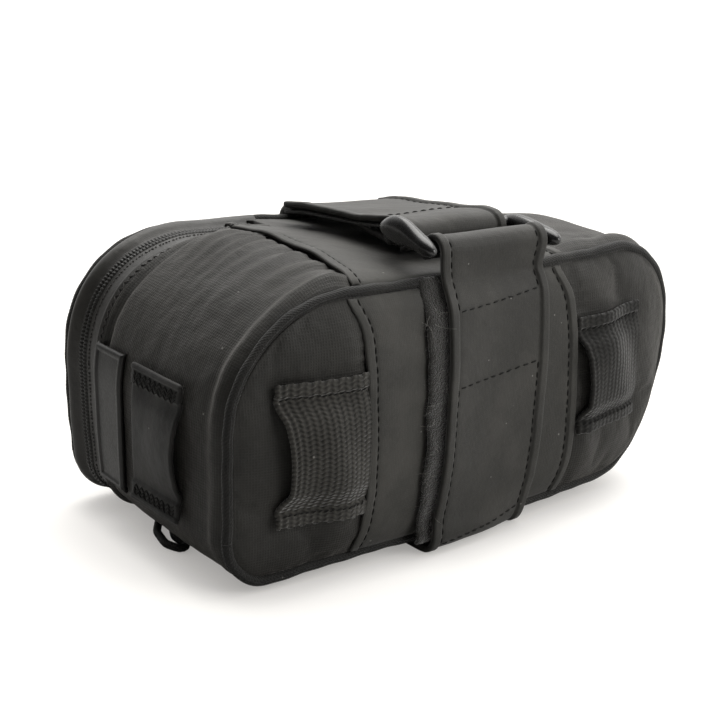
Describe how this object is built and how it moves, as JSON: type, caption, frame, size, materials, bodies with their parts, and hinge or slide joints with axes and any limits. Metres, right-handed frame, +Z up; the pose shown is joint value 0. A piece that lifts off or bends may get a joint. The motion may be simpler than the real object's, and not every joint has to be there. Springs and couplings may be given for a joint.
{
  "type": "saddle bag",
  "caption": "Bowed wedge-shaped saddle bag with a C-shaped zip door, a wide wear band, webbing loops and a hook-and-loop strap through a ring.",
  "frame": {"origin": "centre of the strap's underside, on the plane the bag rests on", "axes": "+X forward to the narrow nose, +Y to the zip side, +Z up"},
  "size_m": [0.1586, 0.1014, 0.0859],
  "materials": {
    "outer_fabric": "ripstop nylon with a fine square grid, semi-matt",
    "foam": "closed-cell foam sheet",
    "lining": "thin woven lining",
    "piping": "fine diagonal braid over a cord",
    "binding": "grosgrain seam binding",
    "band": "rubber-coated fabric, matt, with stitched edges",
    "elastic": "ribbed woven elastic",
    "tag_rubber": "moulded soft rubber with a raised border, blank",
    "zip_tape": "coated zip tape, smooth",
    "zip_coil": "fine nylon coil",
    "zip_metal": "black enamel over die-cast metal",
    "strap": "rubber-coated strap, matt, with dark stitching",
    "pile": "hook-and-loop pile, fuzzy",
    "ring_plastic": "polished moulded plastic",
    "cord": "braided cord"
  },
  "bodies": {
    "bag": {"gusset": "outer_fabric", "gusset_foam": "foam", "main_lining": "lining", "side_panel_right": "outer_fabric", "side_foam_right": "foam", "side_panel_left": "outer_fabric", "side_foam_left": "foam", "piping_right": "piping", "piping_left": "piping", "seam_binding_right": "binding", "seam_binding_left": "binding", "band_right": "band", "band_left": "band", "band_top": "band", "band_bottom": "band", "elastic_loop_rear": "elastic", "elastic_loop_front": "elastic", "light_loop": "strap", "rear_tag": "tag_rubber", "zip_tape_main": "zip_tape", "zip_coil_main": "zip_coil", "zip_end_stops": "zip_metal", "strap": "strap", "strap_pile": "pile", "strap_loop_pad": "pile"},
    "door": {"door_panel": "outer_fabric", "door_foam": "foam", "door_lining": "lining", "door_piping": "piping", "door_binding": "binding", "zip_tape_door": "zip_tape", "zip_coil_door": "zip_coil"},
    "slider": {"zip_slider": "zip_metal"},
    "tab": {"pull_tab": "zip_metal"},
    "cord": {"pull_cord": "cord"},
    "ring": {"buckle_ring": "ring_plastic", "strap_bend": "strap"},
    "tail": {"strap_tail": "strap", "tail_hook_pad": "pile"}
  },
  "joints": [
    {"name": "door_swing", "type": "hinge", "parent": "bag", "child": "door", "pos_m": [-0.0225, 0.04679, 0.04], "axis": [0, 0, -1], "range_deg": [0, 55]},
    {"name": "zip_slide", "type": "slide", "parent": "bag", "child": "slider", "axis": [-1, 0, 0], "range_m": [0, 0.034]},
    {"name": "tab_flip", "type": "hinge", "parent": "slider", "child": "tab", "pos_m": [-0.0305, 0.032, 0.00145], "axis": [0, -1, 0], "range_deg": [0, 150]},
    {"name": "cord_swing", "type": "hinge", "parent": "tab", "child": "cord", "pos_m": [-0.0495, 0.032, 0.00145], "axis": [0, 0, 1], "range_deg": [-40, 40]},
    {"name": "ring_pivot", "type": "hinge", "parent": "bag", "child": "ring", "pos_m": [0, -0.04044, 0.08065], "axis": [1, 0, 0], "range_deg": [0, 20]},
    {"name": "tail_peel", "type": "hinge", "parent": "ring", "child": "tail", "pos_m": [0, -0.02444, 0.08527], "axis": [1, 0, 0], "range_deg": [0, 140]}
  ]
}
